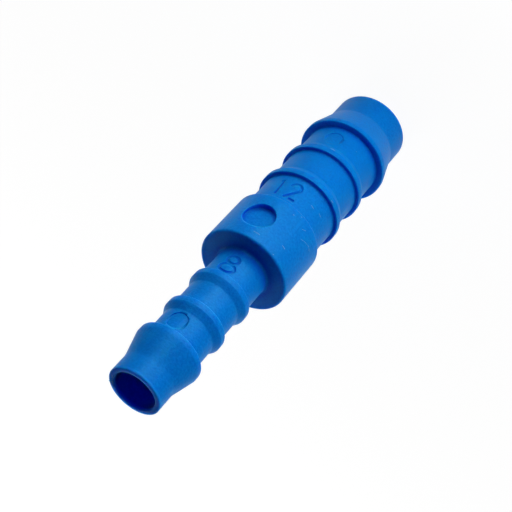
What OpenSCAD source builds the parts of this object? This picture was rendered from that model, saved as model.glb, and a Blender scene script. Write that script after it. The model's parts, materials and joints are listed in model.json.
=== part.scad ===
// Barbed hose reducer, moulded in one piece: a large tail, a plain collar and a small tail on one axis.
// It stands on the mouth of the large tail. Heights are along +Z and the moulded marks face -Y.
// All lengths are in millimetres.

/* [Lengths] */
// Length of the large tail, from its mouth to the collar
large_tail_len = 29.6; // [26:0.1:38]
// Length of the collar between the tails
collar_len = 9.3; // [7:0.1:14]
// Length of the small tail, from its mouth to the collar
small_tail_len = 25.5; // [22:0.1:34]

/* [Large tail] */
// Diameter between the barbs, the bore of the hose that this end takes
large_root_d = 12.2; // [11.4:0.1:13]
// How far the nose is under the root, measured on the diameter
large_nose_relief = 0.15; // [0:0.05:0.4]
// Diameter of the first barb
large_barb_d = 14.5; // [13.4:0.1:15.6]
// Diameter of the rings behind the first barb
large_ring_d = 13.5; // [13.1:0.05:14.2]
// Plain length of the nose, from the mouth to the cone
large_nose_len = 4.5; // [1:0.1:7]
// Distance from the mouth to the holding face of the first barb
large_face = 9.8; // [8.5:0.1:11]
// Distance from one holding face to the next
large_pitch = 6.85; // [5:0.05:8]
// Flat width of the first barb's crest
large_barb_land = 0.75; // [0.4:0.05:1.2]
// Flat width of a ring's crest
large_ring_land = 0.9; // [0.4:0.05:1.2]
// Length of the slope up to a ring
large_ramp = 1.25; // [0.6:0.05:2]
// Rounding of the crest edges
large_crest_edge = 0.12; // [0.05:0.01:0.3]
// Diameter of the bore
large_bore_d = 10; // [8:0.1:10.8]

/* [Small tail] */
// Diameter between the barbs, the bore of the hose that this end takes
small_root_d = 8; // [7.4:0.1:8.8]
// How far the nose is under the root, measured on the diameter
small_nose_relief = 0.15; // [0:0.05:0.4]
// Diameter of the first barb
small_barb_d = 9.85; // [9.3:0.05:10.8]
// Diameter of the rings behind the first barb
small_ring_d = 9.2; // [9:0.05:9.8]
// Plain length of the nose, from the mouth to the cone
small_nose_len = 3.2; // [1:0.1:5]
// Distance from the mouth to the holding face of the first barb
small_face = 7.85; // [6.6:0.05:9]
// Distance from one holding face to the next
small_pitch = 6.1; // [4.6:0.1:7]
// Flat width of the first barb's crest
small_barb_land = 0.85; // [0.4:0.05:1.2]
// Flat width of a ring's crest
small_ring_land = 1; // [0.4:0.05:1.2]
// Length of the slope up to a ring
small_ramp = 1.1; // [0.6:0.05:2]
// Rounding of the crest edges
small_crest_edge = 0.12; // [0.05:0.01:0.3]
// Diameter of the bore
small_bore_d = 6.2; // [4:0.1:6.8]

/* [Rings] */
// Number of rings behind the first barb of each tail
rings = 2; // [0:1:2]
// Rounding where the nose runs into the cone
cone_blend = 1.5; // [0:0.1:3]
// Rounding at the foot of each ramp
ramp_blend = 0.4; // [0:0.1:1]
// Fillet at the foot of each holding face
face_fillet = 0.15; // [0:0.05:0.4]

/* [Collar and bore] */
// Collar diameter
collar_d = 13.9; // [13.6:0.1:17]
// Rounding of the collar's two outer edges
collar_edge = 0.3; // [0.05:0.05:0.4]
// Fillet where the small tail meets the collar
tail_fillet = 0.4; // [0.1:0.05:0.8]
// Rounding of the outer edge of each mouth
mouth_edge = 0.1; // [0.05:0.05:0.3]
// Chamfer on the inner edge of each mouth
bore_chamfer = 0.15; // [0.05:0.05:0.3]
// Distance from the collar's small end to the narrow end of the cone in the bore
bore_shelf = 2; // [1:0.1:4]
// Length of the cone that joins the two bores
bore_cone_len = 2; // [0.5:0.1:4]

/* [Moulded marks] */
// Diameter of the round recess in the collar
recess_d = 4.8; // [3:0.1:6]
// Depth of the recess below the collar
recess_depth = 0.9; // [0.4:0.05:1]
// Slope of the recess wall, in degrees
recess_draft = 5; // [0:1:15]
// Fillet round the floor of the recess
recess_fillet = 0.15; // [0:0.05:0.3]
// Diameter of the pin marks on the tails
pin_mark_d = 2.85; // [1.5:0.05:3.4]
// Depth of the pin marks
pin_mark_depth = 0.12; // [0.04:0.01:0.25]
// Distance from the large tail's first holding face to the middle of its pin mark
large_mark_gap = 2.7; // [2:0.1:3.2]
// Distance from the small tail's first holding face to the middle of its pin mark
small_mark_gap = 2.15; // [1.8:0.05:2.4]

/* [Hidden] */
total_len = large_tail_len + collar_len + small_tail_len;
collar_top = large_tail_len + collar_len;
recess_z = large_tail_len + collar_len / 2;
large_mark_z = large_face + large_mark_gap;
small_mark_z = total_len - small_face - small_mark_gap;
cone_top = collar_top - bore_shelf;
cone_bottom = cone_top - bore_cone_len;
// Length by which a cutting shape stands clear of the surface it cuts
clear = 1;
// Largest turn between two points of a rounded corner, in degrees
arc_step = 15;
// Most that two neighbouring roundings may take of the edge between them
edge_share = 0.48;
turn_fn = 128;

function unit(v) = v / norm(v);
function flat(p) = [p.x, p.y];

// The points of one rounded corner, where p is [x, y, radius] and a and b are its neighbours
function corner(a, p, b) =
    let (
        to_a = flat(a) - flat(p),
        to_b = flat(b) - flat(p),
        half = acos(max(-1, min(1, unit(to_a) * unit(to_b)))) / 2,
        room = edge_share * min(norm(to_a), norm(to_b)) * tan(half),
        r = min(p.z, room)
    )
    r <= 0 || half > 89 ? [flat(p)] :
    let (
        centre = flat(p) + unit(unit(to_a) + unit(to_b)) * r / sin(half),
        start = flat(p) + unit(to_a) * r / tan(half) - centre,
        first = atan2(start.y, start.x),
        turn = -sign(cross(to_a, to_b)) * (180 - 2 * half),
        steps = ceil(abs(turn) / arc_step)
    )
    [for (k = [0 : steps]) centre + r * [cos(first + turn * k / steps), sin(first + turn * k / steps)]];

// An outline with every corner rounded by its own radius
function rounded(points) =
    let (n = len(points))
    [for (i = [0 : n - 1]) each corner(points[(i + n - 1) % n], points[i], points[(i + 1) % n])];

// One tail from its mouth to behind its last ring, as [radius, distance from the mouth, rounding]
function tail(nose_r, root_r, barb_r, ring_r, nose_len, face, pitch, barb_land, ring_land, ramp, edge) =
    concat(
        [
            [nose_r, 0, mouth_edge],
            [nose_r, nose_len, cone_blend],
            [barb_r, face - barb_land, edge],
            [barb_r, face, edge],
            [root_r, face, face_fillet]
        ],
        [
            for (i = [1 : 1 : rings])
                let (ring_face = face + i * pitch)
                each [
                    [root_r, ring_face - ring_land - ramp, ramp_blend],
                    [ring_r, ring_face - ring_land, edge],
                    [ring_r, ring_face, edge],
                    [root_r, ring_face, face_fillet]
                ]
        ]
    );

large_tail = tail(
    large_root_d / 2 - large_nose_relief / 2, large_root_d / 2, large_barb_d / 2, large_ring_d / 2,
    large_nose_len, large_face, large_pitch, large_barb_land, large_ring_land, large_ramp, large_crest_edge
);
small_tail = tail(
    small_root_d / 2 - small_nose_relief / 2, small_root_d / 2, small_barb_d / 2, small_ring_d / 2,
    small_nose_len, small_face, small_pitch, small_barb_land, small_ring_land, small_ramp, small_crest_edge
);
collar = [
    [large_root_d / 2, large_tail_len, face_fillet],
    [collar_d / 2, large_tail_len, collar_edge],
    [collar_d / 2, collar_top, collar_edge],
    [small_root_d / 2, collar_top, tail_fillet]
];
// The small tail points the other way, so its list is turned over
small_tail_up = [for (i = [len(small_tail) - 1 : -1 : 0]) [small_tail[i].x, total_len - small_tail[i].y, small_tail[i].z]];

// The whole outside, turned about the axis
module outside() {
    rotate_extrude($fn = turn_fn)
        polygon(rounded(concat([[0, 0, 0]], large_tail, collar, small_tail_up, [[0, total_len, 0]])));
}

// The flow path: the large bore, a cone inside the collar and the small bore, chamfered at both mouths
module flow_path() {
    rotate_extrude($fn = turn_fn)
        polygon([
            [0, -clear],
            [large_bore_d / 2 + bore_chamfer + clear, -clear],
            [large_bore_d / 2, bore_chamfer],
            [large_bore_d / 2, cone_bottom],
            [small_bore_d / 2, cone_top],
            [small_bore_d / 2, total_len - bore_chamfer],
            [small_bore_d / 2 + bore_chamfer + clear, total_len + clear],
            [0, total_len + clear]
        ]);
}

// Flat-bottomed round recess in the front of the collar, with a sloped wall and a rounded floor
module collar_recess() {
    floor_r = recess_d / 2 - recess_depth * tan(recess_draft);
    rim_r = recess_d / 2 + clear * tan(recess_draft);
    translate([0, recess_depth - collar_d / 2, recess_z])
        rotate([90, 0, 0])
            rotate_extrude($fn = turn_fn)
                polygon(rounded([
                    [0, 0, 0],
                    [floor_r, 0, recess_fillet],
                    [rim_r, recess_depth + clear, 0],
                    [0, recess_depth + clear, 0]
                ]));
}

// Shallow round mark of a mould pin, whose floor follows the tail
module pin_mark(root_r, z) {
    intersection() {
        translate([0, 0, z])
            rotate([90, 0, 0])
                cylinder(d = pin_mark_d, h = root_r + clear, $fn = turn_fn);
        difference() {
            translate([0, 0, z - pin_mark_d])
                cylinder(r = root_r + clear, h = 2 * pin_mark_d, $fn = turn_fn);
            translate([0, 0, z - pin_mark_d - clear])
                cylinder(r = root_r - pin_mark_depth, h = 2 * (pin_mark_d + clear), $fn = turn_fn);
        }
    }
}

module reducer_body() {
    color("#0a6cc4")
        difference() {
            outside();
            flow_path();
            collar_recess();
            pin_mark(large_root_d / 2, large_mark_z);
            pin_mark(small_root_d / 2, small_mark_z);
        }
}

reducer_body();
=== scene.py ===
"""Looks of a moulded hose reducer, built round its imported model: a blue moulding with two engraved sizes.

Lengths in this file are in millimetres and angles in degrees, until mm() and math.radians() turn them.
The part stands on its large mouth: +Z runs along its axis to the small mouth, and its marks face -Y.
An azimuth counts round the axis from -Y toward -X.
"""

import json
import math

import bpy
from mathutils import Matrix, Vector

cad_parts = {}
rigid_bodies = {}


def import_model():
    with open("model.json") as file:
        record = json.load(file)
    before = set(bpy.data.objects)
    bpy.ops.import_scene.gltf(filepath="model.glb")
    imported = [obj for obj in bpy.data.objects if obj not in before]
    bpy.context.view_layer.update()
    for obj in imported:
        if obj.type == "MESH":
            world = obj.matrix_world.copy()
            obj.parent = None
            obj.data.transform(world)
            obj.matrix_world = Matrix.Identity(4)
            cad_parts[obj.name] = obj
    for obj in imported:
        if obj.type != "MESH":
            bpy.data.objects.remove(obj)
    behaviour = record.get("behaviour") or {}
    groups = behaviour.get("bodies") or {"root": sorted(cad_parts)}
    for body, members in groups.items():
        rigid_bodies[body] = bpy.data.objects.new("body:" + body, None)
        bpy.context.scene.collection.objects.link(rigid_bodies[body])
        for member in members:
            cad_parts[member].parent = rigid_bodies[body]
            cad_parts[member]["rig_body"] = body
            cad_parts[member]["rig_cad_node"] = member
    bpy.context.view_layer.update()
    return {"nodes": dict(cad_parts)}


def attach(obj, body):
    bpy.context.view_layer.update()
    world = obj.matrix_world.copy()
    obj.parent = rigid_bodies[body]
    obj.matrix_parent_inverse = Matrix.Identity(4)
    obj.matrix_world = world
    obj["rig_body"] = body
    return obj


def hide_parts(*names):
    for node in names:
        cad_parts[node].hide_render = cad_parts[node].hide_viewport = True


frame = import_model()

# Sizes of the moulding, where its marks need them
LARGE_TAIL_LEN = 29.6
COLLAR_LEN = 9.3
SMALL_TAIL_LEN = 25.5
LARGE_ROOT_R = 6.1
LARGE_RING_R = 6.75
SMALL_ROOT_R = 4.0
COLLAR_R = 6.95
COLLAR_TOP = LARGE_TAIL_LEN + COLLAR_LEN
TOTAL_LEN = COLLAR_TOP + SMALL_TAIL_LEN

# How finely the blank is divided: columns round it, and the longest stretch between two rings of its outside
SPIN_STEPS = 192
RING_STEP = 0.5

# Points nearer than this are one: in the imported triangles, in the half section, and where the spin closes
TRIANGLE_GAP = 0.001
SECTION_GAP = 0.005
SPIN_GAP = 0.002

# Depth in a tail's wall that parts its outside from its bore
WALL_MIDDLE = 0.5
# A turn of the section that is flatter than the first is no corner, and a fold past the second stays sharp
STRAIGHT_ANGLE = 1
SHARP_ANGLE = 30

# How far the cutters stand out of the skin, and a small margin for telling edges apart by their place
REACH = 1.0
MARGIN = 0.01

# The round recess in the collar, and how finely its rim, its fillet and its wall are divided
RECESS_R = 2.4
RECESS_DEPTH = 0.9
RECESS_DRAFT = 5
RECESS_FILLET = 0.15
RECESS_Z = LARGE_TAIL_LEN + COLLAR_LEN / 2
RECESS_SIDES = 256
RECESS_FILLET_STEPS = 4
RECESS_WALL_RINGS = 15

# The shallow round marks that the mould's pins leave on both tails, and the cutters that make them
PIN_MARK_R = 1.425
PIN_MARK_DEPTH = 0.12
PIN_MARK_SIDES = 96
PIN_CORE_LEN = 6.0
LARGE_MARK_Z = 12.5
SMALL_MARK_Z = TOTAL_LEN - 10.0

# The engraved sizes: radius of the round cutter and of the finer one for the 1, the share of it by which their
# middles stand off the skin, and the heights that the numbers stand at
GROOVE_R = 0.25
ONE_GROOVE_R = 0.19
GROOVE_LIFT = 0.2
TWELVE_FOOT_Z = TOTAL_LEN - 35.9
EIGHT_FOOT_Z = TOTAL_LEN - 20.4
# Start, end and number of steps of a closed loop, whose last step back to its start is the rod's own
LOOP = (0, 350, 47)
# How finely the round of a rod is divided
ROD_ROUNDNESS = 6

# The sliver of flash on the small mouth's rim: radius, azimuth and height of both ends, and its thickness
NUB_ROOT = (SMALL_ROOT_R - 0.2, -97, TOTAL_LEN - 0.2)
NUB_TIP = (SMALL_ROOT_R + 0.2, -98, TOTAL_LEN - 0.17)
NUB_ROOT_R = 0.12
NUB_TIP_R = 0.03
NUB_SIDES = 12
NUB_BEVEL = 0.015
NUB_BEVEL_STEPS = 3

# Short pale marks: scuffs, and on the ring crests painted highlights. Each row holds the radius of the skin
# there, then azimuth and height of both ends, and half the width
PALE_MARKS = [
    (COLLAR_R, 44.5, 36.17, 49.5, 36.25, 0.05),
    (COLLAR_R, 56.4, 32.72, 64.7, 32.14, 0.025),
    (COLLAR_R, 64.7, 32.14, 73.0, 31.84, 0.025),
    (COLLAR_R, 74.2, 31.9, 77.5, 31.98, 0.05),
    (COLLAR_R, 30.2, 30.92, 31.8, 30.86, 0.05),
    (COLLAR_R, 39.0, 30.15, 40.0, 30.05, 0.04),
    (COLLAR_R, 9.1, 37.5, 17.7, 37.5, 0.03),
    (COLLAR_R, 42.9, 38.5, 44.1, 38.42, 0.06),
    (COLLAR_R, 49.5, 31.46, 54.3, 31.06, 0.03),
    (LARGE_ROOT_R, 40.3, 26.45, 45.7, 26.55, 0.035),
    (LARGE_ROOT_R, 56.1, 26.16, 62.1, 26.21, 0.035),
    (LARGE_ROOT_R, 37.2, 12.24, 38.2, 12.2, 0.05),
    (LARGE_RING_R, 54.1, 23.24, 58.0, 23.24, 0.05),
    (LARGE_RING_R, 9.3, 15.64, 15.7, 15.64, 0.04),
]
PALE_MARK_STEPS = 4

# The photograph's camera: what it looks at, where it stands from there, its turn about its view, its lens and
# sensor, and the nearest place that it sees
CAMERA_AIM = (-0.046, 0.026, 35.268)
CAMERA_AZIMUTH = 29.675
CAMERA_ELEVATION = 38.5
CAMERA_DISTANCE = 153.33
CAMERA_ROLL = -138.16
CAMERA_LENS = 76.1
CAMERA_SENSOR = 36
CAMERA_NEAR = 5

# Forms of the studio's flat lamps: distance, height of the middle and size
WALL = (220, 30, (130, 60))
GLOSS_WALL = (220, 24, (90, 44))
FAR_WALL = (350, 82, (200, 160))
FOOT = (50, 4, (40, 8))
FLOOR = (120, 1, (110, 110))
SPOT = (70, 0.5, (24, 24))
LIES_FLAT = (FLOOR, SPOT)
# Lamps that light the part: name, azimuth, form and power in watts
PANELS = [
    ("wall_far_left", -25, WALL, 0.014),
    ("wall_left", 10, WALL, 0.083),
    ("wall_middle", 45, WALL, 0.079),
    ("wall_right", 80, WALL, 0.142),
    ("foot", 15, FOOT, 0.0052),
    ("floor_left", -20, FLOOR, 0.091),
    ("floor_middle", 45, FLOOR, 0.032),
    ("floor_right", 110, FLOOR, 0.014),
    ("back_left", 170, FAR_WALL, 0.46),
    ("back_middle", 210, FAR_WALL, 0.86),
    ("back_right", 250, FAR_WALL, 0.31),
]
# Lamps that only show in the gloss
GLOSS_PANELS = [
    ("gloss_wall", 10, GLOSS_WALL, 0.8),
    ("gloss_spot_left", 10, SPOT, 0.17),
    ("gloss_spot_right", 45, SPOT, 0.1),
]

# The paper floor: its side, the light that it bounces, its own glow, and the share of that glow in plain view
PAPER_SIDE = 20000
PAPER_GREY = 0.8
PAPER_GLOW = 1.1
PAPER_GLOW_SHARE = 0.86

WHITE = (1, 1, 1, 1)
# A Mix node for colours has its factor in input 0, its colours in 6 and 7, and the result in output 2
COLOUR_MIX = {"data_type": "RGBA"}


def mm(*lengths):
    """Millimetres as metres: one number, or a vector for three."""
    return lengths[0] / 1000 if len(lengths) == 1 else Vector(lengths) / 1000


def linear(colour):
    """An sRGB hex colour as the linear RGBA that shaders take."""
    parts = [int(colour[i : i + 2], 16) / 255 for i in (1, 3, 5)]
    return [c / 12.92 if c <= 0.04045 else ((c + 0.055) / 1.055) ** 2.4 for c in parts] + [1.0]


# Materials


def add(tree, kind, settings=None, **inputs):
    """Adds a node, sets its own settings, and sets its inputs or links them to other nodes' outputs.

    An input is named with _ for a space, or with i and its number.
    """
    node = tree.nodes.new(kind)
    for name, value in (settings or {}).items():
        setattr(node, name, value)
    for name, value in inputs.items():
        key = int(name[1:]) if name[0] == "i" and name[1:].isdigit() else name.replace("_", " ")
        if isinstance(value, bpy.types.NodeSocket):
            tree.links.new(value, node.inputs[key])
        else:
            node.inputs[key].default_value = value
    return node


def new_material(name):
    """An empty node material and its tree."""
    material = bpy.data.materials.new(name)
    material.use_nodes = True
    material.node_tree.nodes.clear()
    return material, material.node_tree


def moulded_nylon():
    """Nylon, injection-moulded: a strong blue right through, with a satin skin that spreads highlights wide.

    Light runs a little way under the skin, so edges glow. The lips of the mouths are painted a lighter blue as
    painted light, and deep corners are painted a deeper blue as painted shade.
    """
    material, tree = new_material("moulded_nylon")
    place = add(tree, "ShaderNodeTexCoord").outputs["Object"]

    # The flow of the melt leaves wide, faint clouds
    flow = add(
        tree, "ShaderNodeTexNoise", Vector=place, Scale=1 / mm(5), Detail=3.0, Roughness=0.5
    ).outputs["Fac"]
    tone = add(
        tree, "ShaderNodeMix", COLOUR_MIX, i0=flow, i6=linear("#006ec9"), i7=linear("#0074d0")
    ).outputs[2]

    # The grain of the mould's face is too fine to show in full, so it is drawn as coarse as 0.35 mm
    grain = add(
        tree, "ShaderNodeTexNoise", Vector=place, Scale=1 / mm(0.35), Detail=2.0, Roughness=0.6
    ).outputs["Fac"]
    speck = add(tree, "ShaderNodeMapRange", Value=grain, From_Min=0.3, From_Max=0.7).outputs["Result"]
    speckled = add(tree, "ShaderNodeMix", COLOUR_MIX, i0=speck, i6=tone, i7=linear("#0881db")).outputs[2]
    rough = add(tree, "ShaderNodeMapRange", Value=speck, To_Min=0.38, To_Max=0.5).outputs["Result"]

    # Painted shade: corners that are shut in within 3 mm are painted a deeper blue
    openness = add(
        tree, "ShaderNodeAmbientOcclusion", {"samples": 8, "only_local": True}, Distance=mm(3)
    ).outputs["AO"]
    unshaded_share = add(
        tree, "ShaderNodeMapRange", Value=openness, From_Min=0.45, From_Max=0.85
    ).outputs["Result"]
    with_painted_shade = add(
        tree, "ShaderNodeMix", COLOUR_MIX, i0=unshaded_share, i6=linear("#0034c4"), i7=speckled
    ).outputs[2]

    # The distance from the middle of the part finds both mouths at once
    mouth = TOTAL_LEN / 2
    height = add(tree, "ShaderNodeSeparateXYZ", Vector=place).outputs["Z"]
    offset = add(tree, "ShaderNodeMath", {"operation": "SUBTRACT"}, i0=height, i1=mm(mouth)).outputs[0]
    from_middle = add(tree, "ShaderNodeMath", {"operation": "ABSOLUTE"}, i0=offset).outputs[0]

    # Painted light: the thin lips are painted a lighter blue, for the light that reaches them from both sides
    # of the wall
    painted_glow_mask = add(
        tree, "ShaderNodeMapRange", Value=from_middle, From_Min=mm(mouth - 0.5), From_Max=mm(mouth - 0.1)
    ).outputs["Result"]
    with_painted_glow = add(
        tree, "ShaderNodeMix", COLOUR_MIX, i0=painted_glow_mask, i6=with_painted_shade, i7=linear("#1a8cff")
    ).outputs[2]

    # Edges are rounded a little, and most at the two mouths, where they are worn
    wear = add(
        tree,
        "ShaderNodeMapRange",
        Value=from_middle,
        From_Min=mm(mouth - 0.6),
        From_Max=mm(mouth - 0.3),
        To_Min=mm(0.06),
        To_Max=mm(0.4),
    ).outputs["Result"]
    edge = add(tree, "ShaderNodeBevel", {"samples": 8}, Radius=wear).outputs["Normal"]
    skin = add(
        tree, "ShaderNodeBump", Strength=0.8, Distance=mm(0.05), Height=grain, Normal=edge
    ).outputs["Normal"]

    shader = add(
        tree,
        "ShaderNodeBsdfPrincipled",
        Base_Color=with_painted_glow,
        Roughness=rough,
        IOR=1.53,
        Specular_IOR_Level=0.05,
        Specular_Tint=(0.1, 1.0, 1.0, 1.0),
        Subsurface_Weight=1.0,
        Subsurface_Radius=(0.1, 1.0, 1.2),
        Subsurface_Scale=mm(1),
        Normal=skin,
    )
    add(tree, "ShaderNodeOutputMaterial", Surface=shader.outputs[0])
    return material


def pale_mark_nylon():
    """The same nylon, paler and dull: short scuffs, and on the ring crests painted highlights."""
    material, tree = new_material("pale_mark_nylon")
    place = add(tree, "ShaderNodeTexCoord").outputs["Object"]
    rub = add(
        tree, "ShaderNodeTexNoise", Vector=place, Scale=1 / mm(0.15), Detail=2.0, Roughness=0.7
    ).outputs["Fac"]
    tone = add(
        tree, "ShaderNodeMix", COLOUR_MIX, i0=rub, i6=linear("#1a80d0"), i7=linear("#72bcf0")
    ).outputs[2]
    shader = add(tree, "ShaderNodeBsdfPrincipled", Base_Color=tone, Roughness=0.7, IOR=1.53)
    add(tree, "ShaderNodeOutputMaterial", Surface=shader.outputs[0])
    return material


def seen(tree, share_in_view=1.0):
    """How much of a white shows: all in gloss and through glass, a share to the camera, and none as light."""
    path = add(tree, "ShaderNodeLightPath").outputs
    view = add(
        tree, "ShaderNodeMath", {"operation": "MULTIPLY"}, i0=path["Is Camera Ray"], i1=share_in_view
    ).outputs[0]
    other = add(
        tree,
        "ShaderNodeMath",
        {"operation": "MAXIMUM"},
        i0=path["Is Glossy Ray"],
        i1=path["Is Transmission Ray"],
    ).outputs[0]
    return add(tree, "ShaderNodeMath", {"operation": "MAXIMUM"}, i0=view, i1=other).outputs[0]


def white_paper():
    """Matt white paper: it bounces plain soft light, and the share of it that doesn't glow shows shadows."""
    material, tree = new_material("white_paper")
    grey = (PAPER_GREY, PAPER_GREY, PAPER_GREY, 1)
    paper = add(tree, "ShaderNodeBsdfDiffuse", Color=grey).outputs[0]
    white = add(tree, "ShaderNodeEmission", Color=WHITE, Strength=PAPER_GLOW).outputs[0]
    glow_share = seen(tree, PAPER_GLOW_SHARE)
    mixed = add(tree, "ShaderNodeMixShader", i0=glow_share, i1=paper, i2=white).outputs[0]
    add(tree, "ShaderNodeOutputMaterial", Surface=mixed)
    return material


# Modelling


def select_only(*objects):
    """Selects these objects alone, with the first one active."""
    bpy.ops.object.select_all(action="DESELECT")
    for o in objects:
        o.select_set(True)
    bpy.context.view_layer.objects.active = objects[0]


def select_parts(o, kind, test):
    """In object mode, selects the vertices, edges or faces that pass the test, and nothing else."""
    for part in (*o.data.vertices, *o.data.edges, *o.data.polygons):
        part.select = False
    for part in getattr(o.data, kind):
        part.select = bool(test(part))


def edge_ends(o, edge):
    """The places of an edge's two ends."""
    return [o.data.vertices[i].co for i in edge.vertices]


def is_outside(place):
    """True for a point on the outer side of the half section."""
    if place.z > mm(COLLAR_TOP - MARGIN):
        return place.x > mm(SMALL_ROOT_R - WALL_MIDDLE)
    return place.x > mm(LARGE_ROOT_R - WALL_MIDDLE)


def divide_runs(section):
    """Halves the long straight runs on the outside of the section until none is longer than a ring step."""

    def is_long(edge):
        a, b = edge_ends(section, edge)
        return (a - b).length > mm(RING_STEP) and is_outside(a) and is_outside(b)

    while any(is_long(edge) for edge in section.data.edges):
        select_parts(section, "edges", is_long)
        bpy.ops.object.mode_set(mode="EDIT")
        bpy.ops.mesh.select_mode(type="EDGE")
        bpy.ops.mesh.subdivide(number_cuts=1)
        bpy.ops.object.mode_set(mode="OBJECT")


def merge_points(gap):
    """In edit mode, makes one point of those that are nearer to each other than a gap."""
    bpy.ops.mesh.select_all(action="SELECT")
    bpy.ops.mesh.remove_doubles(threshold=mm(gap))


def half_section():
    """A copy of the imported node, cut down to the half section that lies on the +X side of its axis."""
    section = frame["nodes"]["reducer_body"].copy()
    section.data = section.data.copy()
    section.parent = None
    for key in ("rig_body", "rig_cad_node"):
        del section[key]
    bpy.context.scene.collection.objects.link(section)
    select_only(section)
    bpy.ops.object.mode_set(mode="EDIT")
    bpy.ops.mesh.select_mode(type="VERT")
    merge_points(TRIANGLE_GAP)
    bpy.ops.mesh.bisect(plane_co=(0, 0, 0), plane_no=(0, 1, 0), clear_inner=True, clear_outer=True)
    bpy.ops.object.mode_set(mode="OBJECT")
    select_parts(section, "vertices", lambda v: v.co.x < 0)
    bpy.ops.object.mode_set(mode="EDIT")
    bpy.ops.mesh.delete(type="VERT")
    merge_points(SECTION_GAP)
    bpy.ops.mesh.dissolve_limited(angle_limit=math.radians(STRAIGHT_ANGLE))
    bpy.ops.object.mode_set(mode="OBJECT")
    return section


def moulding_blank():
    """The whole moulding without its marks, spun round from its half section."""
    blank = half_section()
    blank.name = "moulded_reducer"
    divide_runs(blank)
    bpy.ops.object.mode_set(mode="EDIT")
    bpy.ops.mesh.select_mode(type="VERT")
    bpy.ops.mesh.select_all(action="SELECT")
    bpy.ops.mesh.spin(steps=SPIN_STEPS, angle=math.tau, center=(0, 0, 0), axis=(0, 0, 1))
    merge_points(SPIN_GAP)
    bpy.ops.mesh.normals_make_consistent(inside=False)
    bpy.ops.object.mode_set(mode="OBJECT")
    return blank


def finish_shape(shape, name):
    """Gives a new shape its name and writes its place into its mesh."""
    shape.name = name
    select_only(shape)
    bpy.ops.object.transform_apply(location=True, rotation=True, scale=True)
    return shape


def facing_front(radius, z):
    """Location and turn of a primitive whose own +Z points out of the part's front, at a height."""
    return {"location": mm(0, -radius, z), "rotation": (math.radians(90), 0, 0)}


def bevel_edges(o, test, offset, steps):
    """Rounds the edges that pass the test."""
    select_parts(o, "edges", test)
    bpy.ops.object.mode_set(mode="EDIT")
    bpy.ops.mesh.bevel(offset=mm(offset), segments=steps, affect="EDGES")
    bpy.ops.object.mode_set(mode="OBJECT")


def recess_cutter():
    """A round plug with sloped walls and a rounded floor."""
    depth = RECESS_DEPTH + REACH
    slope = math.tan(math.radians(RECESS_DRAFT))
    bpy.ops.mesh.primitive_cone_add(
        vertices=RECESS_SIDES,
        radius1=mm(RECESS_R - RECESS_DEPTH * slope),
        radius2=mm(RECESS_R + REACH * slope),
        depth=mm(depth),
        **facing_front(COLLAR_R - RECESS_DEPTH + depth / 2, RECESS_Z),
    )
    plug = finish_shape(bpy.context.object, "recess_cutter")

    def is_round_floor(edge):
        return all(end.y > mm(RECESS_DEPTH - COLLAR_R - MARGIN) for end in edge_ends(plug, edge))

    def is_up_wall(edge):
        a, b = edge_ends(plug, edge)
        return abs(a.y - b.y) > mm(RECESS_DEPTH)

    bevel_edges(plug, is_round_floor, RECESS_FILLET, RECESS_FILLET_STEPS)
    # Rings down the wall keep the faces that the rim cuts across small
    select_parts(plug, "edges", is_up_wall)
    bpy.ops.object.mode_set(mode="EDIT")
    bpy.ops.mesh.select_mode(type="EDGE")
    bpy.ops.mesh.subdivide(number_cuts=RECESS_WALL_RINGS)
    bpy.ops.object.mode_set(mode="OBJECT")
    return plug


def pin_mark_cutter(name, root_r, z):
    """A round plug whose inner end is hollowed, so that the floor of its mark follows the tail."""
    bpy.ops.mesh.primitive_cylinder_add(
        vertices=PIN_MARK_SIDES, radius=mm(PIN_MARK_R), depth=mm(2 * REACH), **facing_front(root_r, z)
    )
    plug = finish_shape(bpy.context.object, name)
    bpy.ops.mesh.primitive_cylinder_add(
        vertices=SPIN_STEPS,
        radius=mm(root_r - PIN_MARK_DEPTH),
        depth=mm(PIN_CORE_LEN),
        location=mm(0, 0, z),
    )
    cut(plug, finish_shape(bpy.context.object, "core"))
    return plug


def on_round(radius, azimuth, z):
    """A point at a radius, an azimuth and a height."""
    a = math.radians(azimuth)
    return mm(-radius * math.sin(a), -radius * math.cos(a), z)


def on_skin(root_r, lift, foot_z, across, up):
    """A point lifted off a tail's skin, from its place on a flat sheet that is read from the small mouth."""
    return on_round(root_r + lift, math.degrees(across / root_r), foot_z - up)


def arc(centre, radii, start, end, steps=24):
    """Points along part of an ellipse, between two angles."""
    turns = [math.radians(start + (end - start) * k / steps) for k in range(steps + 1)]
    return [(centre[0] + radii[0] * math.cos(a), centre[1] + radii[1] * math.sin(a)) for a in turns]


def rod(name, points, radius, closed=False):
    """A round rod along a line of points, as a mesh."""
    line = bpy.data.curves.new(name, "CURVE")
    line.dimensions = "3D"
    line.bevel_depth = mm(radius)
    line.bevel_resolution = ROD_ROUNDNESS
    line.use_fill_caps = True
    spline = line.splines.new("POLY")
    spline.points.add(len(points) - 1)
    for point, place in zip(spline.points, points):
        point.co = (*place, 1)
    spline.use_cyclic_u = closed
    piece = bpy.data.objects.new(name, line)
    bpy.context.scene.collection.objects.link(piece)
    select_only(piece)
    bpy.ops.object.convert(target="MESH")
    return piece


def stroke_cutter(name, root_r, foot_z, stroke, closed=False, radius=GROOVE_R):
    """A rod along one stroke of a digit, laid on the skin, to cut the groove that a ball-nosed tool would."""
    points = [on_skin(root_r, radius * GROOVE_LIFT, foot_z, *point) for point in stroke]
    return rod(name, points, radius, closed)


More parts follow.
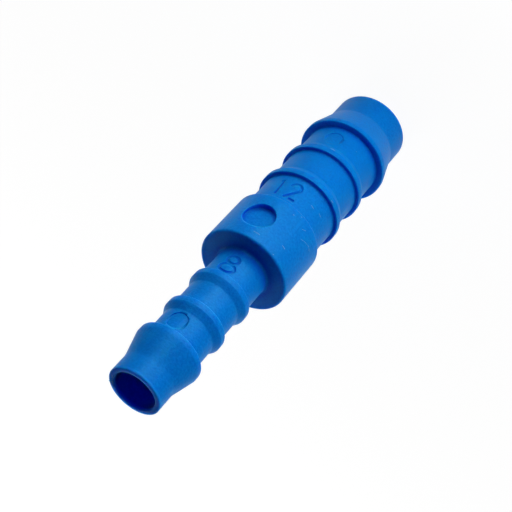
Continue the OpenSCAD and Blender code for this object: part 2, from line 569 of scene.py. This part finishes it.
def size_marks():
    """Cutters for the hose sizes: 12 on the large tail and 8 on the small one, each beside the collar.

    A stroke's points are measured across and up from the foot of its number.
    """
    twelve = (LARGE_ROOT_R, TWELVE_FOOT_Z)
    eight = (SMALL_ROOT_R, EIGHT_FOOT_Z)
    one = [(-1.67, 3.35), (-1.33, 3.6), (-1.1, 0.25)]
    two = arc((1.05, 2.82), (0.77, 0.83), 185, -35) + [(0.28, 0.18)]
    two_foot = [(1.1, 0.29), (2.05, 0.31)]
    eight_low = arc((0.13, 1.08), (1.13, 0.8), *LOOP)
    eight_high = arc((0.17, 2.8), (0.85, 0.72), *LOOP)
    return [
        stroke_cutter("one", *twelve, one, radius=ONE_GROOVE_R),
        stroke_cutter("two", *twelve, two),
        stroke_cutter("two_foot", *twelve, two_foot),
        stroke_cutter("eight_low", *eight, eight_low, closed=True),
        stroke_cutter("eight_high", *eight, eight_high, closed=True),
    ]


def cut(body, cutter):
    """Takes a cutter out of a body and deletes the cutter."""
    select_only(body)
    hole = body.modifiers.new("cut", "BOOLEAN")
    hole.operation = "DIFFERENCE"
    hole.solver = "EXACT"
    hole.object = cutter
    bpy.ops.object.modifier_apply(modifier=hole.name)
    bpy.data.objects.remove(cutter, do_unlink=True)


def joined(pieces):
    """Joins pieces into the first one."""
    select_only(*pieces)
    bpy.ops.object.join()
    return pieces[0]


def pale_marks():
    """Short pale burrs half sunk in the skin: scuffs, and on the ring crests painted highlights."""
    shares = [k / PALE_MARK_STEPS for k in range(PALE_MARK_STEPS + 1)]
    marks = []
    for radius, az_a, z_a, az_b, z_b, half_width in PALE_MARKS:
        middle_r = radius - half_width / 2
        points = [on_round(middle_r, az_a + (az_b - az_a) * k, z_a + (z_b - z_a) * k) for k in shares]
        marks.append(rod("pale_mark", points, half_width))
    return marks


def flash_nub():
    """The sliver of flash that is left on the rim of the small mouth."""
    root = on_round(*NUB_ROOT)
    tip = on_round(*NUB_TIP)
    bpy.ops.mesh.primitive_cone_add(
        vertices=NUB_SIDES, radius1=mm(NUB_ROOT_R), radius2=mm(NUB_TIP_R), depth=(tip - root).length
    )
    nub = bpy.context.object
    turn = (tip - root).to_track_quat("Z", "Y").to_matrix().to_4x4()
    nub.matrix_world = Matrix.Translation((root + tip) / 2) @ turn
    finish_shape(nub, "flash_nub")

    def is_at_tip(edge):
        return all((end - tip).length < mm(NUB_TIP_R + MARGIN) for end in edge_ends(nub, edge))

    bevel_edges(nub, is_at_tip, NUB_BEVEL, NUB_BEVEL_STEPS)
    return nub


def moulded_reducer():
    """The moulding: spun from its section, cut by its marks, and given a sliver of flash and short pale marks.
    """
    body = moulding_blank()
    one, two, two_foot, eight_low, eight_high = size_marks()
    recess = recess_cutter()
    large_pin = pin_mark_cutter("large_pin_mark", LARGE_ROOT_R, LARGE_MARK_Z)
    small_pin = pin_mark_cutter("small_pin_mark", SMALL_ROOT_R, SMALL_MARK_Z)
    # Strokes that cross another one are cut after it
    cut(body, joined([recess, large_pin, small_pin, one, two, eight_low]))
    cut(body, joined([two_foot, eight_high]))
    select_only(body)
    bpy.ops.object.shade_smooth_by_angle(angle=math.radians(SHARP_ANGLE))
    even = body.modifiers.new("even_shading", "WEIGHTED_NORMAL")
    even.keep_sharp = True
    bpy.ops.object.modifier_apply(modifier=even.name)
    nub = flash_nub()
    # Pale marks: scuffs, and on the ring crests painted highlights
    pale_mark_pieces = joined(pale_marks())
    nylon = moulded_nylon()
    for piece, material in ((body, nylon), (nub, nylon), (pale_mark_pieces, pale_mark_nylon())):
        piece.data.materials.clear()
        piece.data.materials.append(material)
    joined([body, nub, pale_mark_pieces])
    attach(body, "root")
    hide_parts("reducer_body")


# The studio


def paper_floor():
    """A plain sheet of white paper, wide enough to reach past every view."""
    bpy.ops.mesh.primitive_plane_add(size=mm(PAPER_SIDE))
    floor = bpy.context.object
    floor.name = "paper_floor"
    floor.data.materials.append(white_paper())


def around(azimuth, elevation, distance, aim):
    """A place seen from the aim at an azimuth and an elevation."""
    a, e = math.radians(azimuth), math.radians(elevation)
    way = Vector((-math.sin(a) * math.cos(e), -math.cos(a) * math.cos(e), math.sin(e)))
    return aim + way * mm(distance)


def aimed(place, aim, roll=0.0):
    """The matrix of a camera or lamp at a place, turned to the aim and then rolled about its view."""
    turn = (aim - place).to_track_quat("-Z", "Y").to_matrix().to_4x4()
    return Matrix.Translation(place) @ turn @ Matrix.Rotation(math.radians(roll), 4, "Z")


def photo_camera():
    """The photograph's camera: it looks down on the small mouth, and the part lies across the picture."""
    data = bpy.data.cameras.new("photo_camera")
    data.lens = CAMERA_LENS
    data.sensor_width = CAMERA_SENSOR
    data.clip_start = mm(CAMERA_NEAR)
    aim = mm(*CAMERA_AIM)
    place = around(CAMERA_AZIMUTH, CAMERA_ELEVATION, CAMERA_DISTANCE, aim)
    camera = bpy.data.objects.new("photo_camera", data)
    camera.matrix_world = aimed(place, aim, CAMERA_ROLL)
    bpy.context.scene.collection.objects.link(camera)
    bpy.context.scene.camera = camera


def panel(name, azimuth, form, power, gloss):
    """A flat lamp that stands round the part and faces its axis, or lies on the floor and faces up.

    It either lights the part or shows in its gloss, so that each can be set by itself.
    """
    distance, height, size = form
    place = around(azimuth, 0, distance, mm(0, 0, height))
    aim = place + Vector((0, 0, 1)) if form in LIES_FLAT else mm(0, 0, height)
    data = bpy.data.lights.new(name, "AREA")
    data.shape = "RECTANGLE"
    data.size, data.size_y = mm(size[0]), mm(size[1])
    data.energy = power
    lamp = bpy.data.objects.new(name, data)
    lamp.matrix_world = aimed(place, aim)
    lamp.visible_camera = False
    lamp.visible_glossy = gloss
    lamp.visible_diffuse = not gloss
    bpy.context.scene.collection.objects.link(lamp)


def plain_world():
    """A world that is white where it is seen, and gives no light of its own."""
    world = bpy.data.worlds.new("plain_world")
    world.use_nodes = True
    tree = world.node_tree
    tree.nodes.clear()
    light = add(tree, "ShaderNodeBackground", Color=WHITE, Strength=seen(tree)).outputs[0]
    add(tree, "ShaderNodeOutputWorld", Surface=light)
    bpy.context.scene.world = world


moulded_reducer()
paper_floor()
photo_camera()
for row in PANELS:
    panel(*row, gloss=False)
for row in GLOSS_PANELS:
    panel(*row, gloss=True)
plain_world()
bpy.context.scene.view_settings.view_transform = "Standard"
